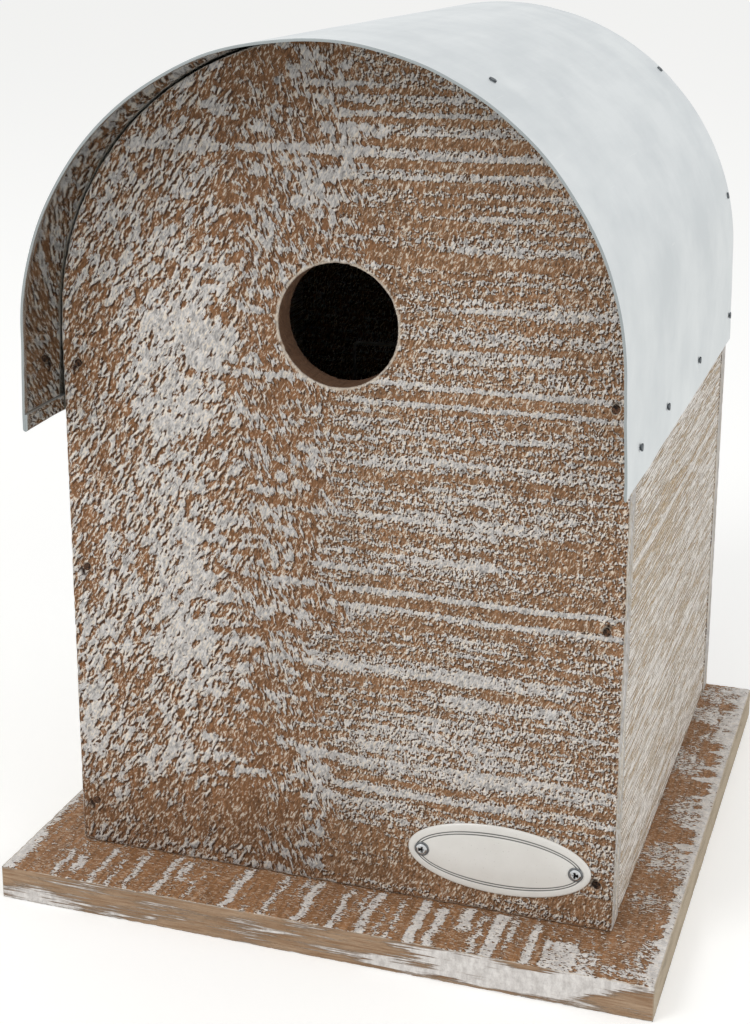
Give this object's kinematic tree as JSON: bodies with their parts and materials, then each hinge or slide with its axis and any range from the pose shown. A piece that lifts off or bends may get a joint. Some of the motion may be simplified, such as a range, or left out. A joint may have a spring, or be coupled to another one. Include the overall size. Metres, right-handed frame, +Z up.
{
  "type": "birdhouse",
  "caption": "Arched whitewashed pine birdhouse with a round entrance, a bent zinc roof, an oval plate, a hinged cleaning door and a keyhole hanger at the back.",
  "frame": {"origin": "middle of the base board's underside", "axes": "+Z up, the entrance hole faces -Y, +X to the right as seen from the front"},
  "size_m": [0.184, 0.1947, 0.2399],
  "materials": {
    "whitewashed_pine": "rough-sawn pine, stained brown and dry-brushed with white",
    "bare_pine": "planed, unfinished pine",
    "zinc_sheet": "matt pale grey zinc sheet",
    "weathered_nail": "dull dark steel",
    "zinc_plated_steel": "bright zinc plating",
    "enamel": "cream-white enamel"
  },
  "bodies": {
    "house": {"base_board": "whitewashed_pine", "base_screws": "zinc_plated_steel", "front_panel": "whitewashed_pine", "back_panel": "whitewashed_pine", "left_side": "whitewashed_pine", "right_side": "whitewashed_pine", "front_brads": "weathered_nail", "back_brads": "weathered_nail", "roof_sheet": "zinc_sheet", "roof_tacks_left": "weathered_nail", "roof_tacks_right": "weathered_nail", "roof_tacks_front": "weathered_nail", "roof_tacks_back": "weathered_nail", "name_plate": "enamel", "name_plate_screws": "zinc_plated_steel", "door_stop": "bare_pine", "upper_hinge_frame_leaf": "zinc_plated_steel", "upper_hinge_pin": "zinc_plated_steel", "lower_hinge_frame_leaf": "zinc_plated_steel", "lower_hinge_pin": "zinc_plated_steel", "hinge_frame_screws": "zinc_plated_steel", "turn_button_washer": "zinc_plated_steel", "turn_button_screw": "zinc_plated_steel", "hanger_plate": "zinc_plated_steel", "hanger_screws": "zinc_plated_steel"},
    "door": {"cleaning_door": "whitewashed_pine", "upper_hinge_door_leaf": "zinc_plated_steel", "lower_hinge_door_leaf": "zinc_plated_steel", "hinge_door_screws": "zinc_plated_steel"},
    "button": {"turn_button": "bare_pine"}
  },
  "joints": [
    {"name": "door_hinge", "type": "hinge", "parent": "house", "child": "door", "pos_m": [-0.0495, 0.0965, 0.074], "axis": [0, 0, 1], "range_deg": [0, 110]},
    {"name": "button_turn", "type": "hinge", "parent": "house", "child": "button", "pos_m": [0.0585, 0.0962, 0.074], "axis": [0, 1, 0], "range_deg": [0, 90]}
  ]
}
